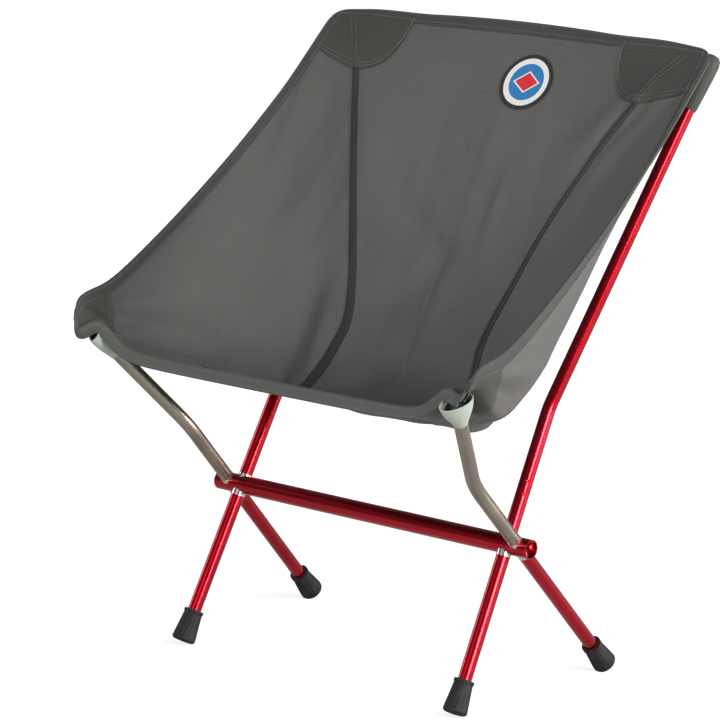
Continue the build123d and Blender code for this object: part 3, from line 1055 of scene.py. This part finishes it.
def badge():
    """A disc of cloth: rings extruded inwards from a circle, then laid on the sling."""
    mesh = bmesh.new()
    layer = mesh.loops.layers.uv.new("cloth")
    bmesh.ops.create_circle(mesh, segments=64, radius=badge_radius, cap_ends=True)
    for inset in [0.0009, 0.0009, 0.0012] + [0.004] * 6:
        inner = [face for face in mesh.faces if len(face.verts) > 4]
        bmesh.ops.inset_region(mesh, faces=inner, thickness=inset, use_even_offset=True)
    for face in mesh.faces:
        for loop in face.loops:
            loop[layer].uv = loop.vert.co.xy
    step = (sling_point(0, badge_v + 0.01) - sling_point(0, badge_v)).length / 0.01
    for corner in mesh.verts:
        away = corner.co.length
        rim = math.exp(-((away - badge_radius + 0.0012) / 0.0012) ** 2)
        height = 0.0019 + 0.0007 * rim - 0.0009 * smooth(away, badge_radius - 0.0006, badge_radius)
        corner.co = cloth_point(
            badge_u + corner.co.x / half_length(badge_v), badge_v - corner.co.y / step, height)
    bmesh.ops.recalc_face_normals(mesh, faces=mesh.faces[:])
    return placed(mesh, "badge_disc", badge_finish(), sharp=80)


badge_disc = badge()
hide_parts("badge")
print("badge made")

# %% [markdown]
# ## Elastic cords
# The cords run hidden inside the poles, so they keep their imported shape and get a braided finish.

# %% The cords' finish
material, shader, wire = finish("shock_cord_braid", Sheen_Weight=0.1)
braid = speckle(wire, 700, 2)
connect(shader, Base_Color=braid.mix((0.02, 0.02, 0.02, 1), (0.12, 0.12, 0.12, 1)),
        Normal=raised(wire, braid, 0.0002))
for name, node in nodes.items():
    if name.endswith("shock_cord"):
        paint(node, material)

# %% [markdown]
# ## The sewn cloth
# The tapes, patches and stitches are sewn to the panels. Cloth on a folding chair is pulled nearly
# tight, so a panel's area is its own.

print("cloth pieces made")

# %% [markdown]
# ## Floor and light
# A plain pale floor and soft boxes all round, as for a catalogue. The floor and the background are
# white where the camera looks at them, and only grey where the chair sees them, or the tubes would
# lose their dark flanks and the seat its shade. The front box is low, so the seat's bottom is dark.

# %% Floor
floor_mesh = bmesh.new()
bmesh.ops.create_circle(floor_mesh, segments=64, radius=14, cap_ends=True)
floor_data = bpy.data.meshes.new("floor")
floor_mesh.to_mesh(floor_data)
floor_mesh.free()
floor = bpy.data.objects.new("floor", floor_data)
bpy.context.scene.collection.objects.link(floor)
floor_finish, floor_shader, _ = finish("floor_paper", Roughness=0.9, Specular_IOR_Level=0.1)
floor_shader.inputs["Base Color"].default_value = (0.42, 0.42, 0.42, 1)
floor_shader.inputs["Emission Strength"].default_value = 1.0
floor_wire = Wire(floor_finish.node_tree)
# Painted light: the floor glows, for the camera white far off and greyer near the chair, for the chair only
# faintly.
from_chair = floor_wire.node("ShaderNodeVectorMath", {"operation": "LENGTH"}, {
    0: floor_wire.node("ShaderNodeTexCoord", out=3)}, out=1)
seen_floor = from_chair.step(0.3, 2.6).mix((0.72, 0.72, 0.72, 1), (0.97, 0.97, 0.97, 1))
from_camera = floor_wire.node("ShaderNodeLightPath", out=0)
connect(floor_shader, Emission_Color=from_camera.mix((0.06, 0.06, 0.06, 1), seen_floor))
floor_data.materials.append(floor_finish)

# %% Sky and soft boxes
world = bpy.data.worlds.new("studio")
bpy.context.scene.world = world
world.use_nodes = True
sky = Wire(world.node_tree)
seen = sky.node("ShaderNodeLightPath", out=0)
backdrop = world.node_tree.nodes["Background"]
world.node_tree.links.new(
    seen.mix((0.13, 0.13, 0.135, 1), (1.0, 1.0, 1.0, 1)).socket, backdrop.inputs["Color"])
bpy.context.scene.view_settings.view_transform = "Standard"


def soft_box(name, place, width, height, watts, aim=(0, 0, 0.3)):
    light = bpy.data.lights.new(name, "AREA")
    light.shape, light.size, light.size_y, light.energy = "RECTANGLE", width, height, watts
    lamp = bpy.data.objects.new(name, light)
    lamp.location = place
    lamp.rotation_euler = (Vector(aim) - Vector(place)).to_track_quat("-Z", "Y").to_euler()
    bpy.context.scene.collection.objects.link(lamp)


soft_box("key_box", (3.6, -0.7, 1.7), 1.6, 1.8, 150)
soft_box("front_box", (0.2, -3.7, 1.2), 1.7, 1.5, 100)
soft_box("left_strip", (-3.2, -0.9, 1.2), 0.5, 2.0, 20)
soft_box("top_box", (-0.2, -0.5, 3.2), 1.8, 1.8, 8)
soft_box("rim_box", (2.9, 1.9, 1.1), 1.3, 1.6, 150)
print("studio lit")
